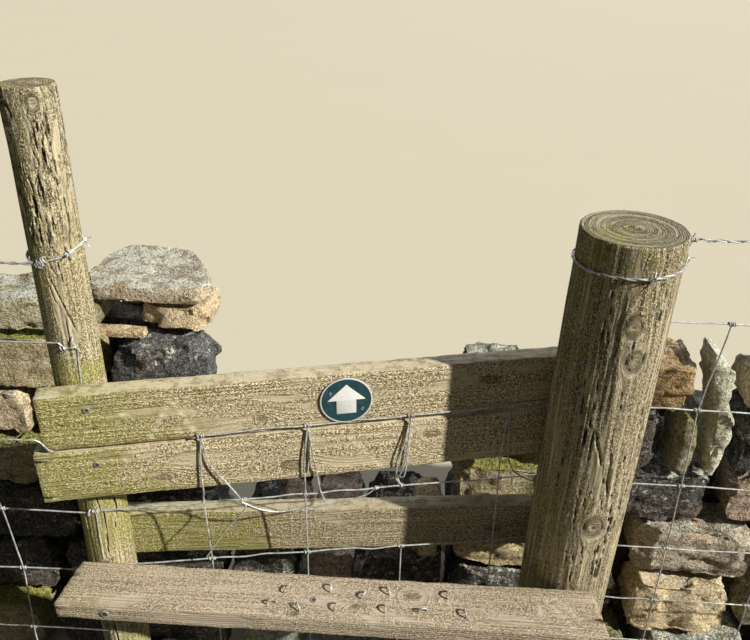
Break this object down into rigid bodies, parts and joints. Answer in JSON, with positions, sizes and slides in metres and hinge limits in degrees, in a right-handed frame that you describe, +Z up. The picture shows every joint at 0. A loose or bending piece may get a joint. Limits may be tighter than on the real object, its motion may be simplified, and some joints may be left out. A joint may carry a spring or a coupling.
{
  "type": "stone wall stile",
  "caption": "Timber step stile with rails and posts set in a gap of a dry stone wall, with a waymark disc, stock netting and barbed wire to a stake on each side.",
  "frame": {"origin": "middle of the footprint at ground level", "axes": "+X along the wall to the right as the walker faces the stile, +Y over the stile away from the step, +Z up"},
  "size_m": [3.2, 0.6568, 1.1653],
  "materials": {
    "post_timber": "weathered round timber",
    "rail_timber": "weathered sawn timber with algae",
    "step_timber": "worn sawn timber",
    "rusty_steel": "dull wire nail steel",
    "galvanised_wire": "galvanised",
    "disc_green": "printed plastic",
    "disc_white": "printed plastic",
    "hearting_stone": "packed rubble in shade",
    "grey_stone": "rough gritstone",
    "tan_stone": "rough gritstone",
    "lichened_stone": "gritstone with lichen"
  },
  "bodies": {
    "root": {"left_post": "post_timber", "right_post": "post_timber", "left_stake": "post_timber", "right_stake": "post_timber", "step_board": "step_timber", "top_rail": "rail_timber", "middle_rail": "rail_timber", "lower_rail": "rail_timber", "step_nails": "rusty_steel", "rail_nails": "rusty_steel", "grip_staples": "rusty_steel", "waymark_disc": "disc_green", "waymark_arrow": "disc_white", "waymark_pins": "rusty_steel", "left_netting": "galvanised_wire", "stile_netting": "galvanised_wire", "right_netting": "galvanised_wire", "netting_staples": "rusty_steel", "barbed_staples": "rusty_steel", "left_barbed_wire": "galvanised_wire", "right_barbed_wire": "galvanised_wire", "barbed_wire_ties": "galvanised_wire", "left_hearting": "hearting_stone", "left_footing": "grey_stone", "left_near_face": "tan_stone", "left_far_face": "tan_stone", "left_wall_ends": "grey_stone", "left_levelling": "tan_stone", "left_copes": "lichened_stone", "right_hearting": "hearting_stone", "right_footing": "grey_stone", "right_near_face": "tan_stone", "right_far_face": "tan_stone", "right_wall_ends": "grey_stone", "right_bedding": "tan_stone", "right_copes": "lichened_stone", "sill_lower_course": "grey_stone", "sill_upper_course": "tan_stone", "packing_stones": "grey_stone"}
  },
  "joints": []
}
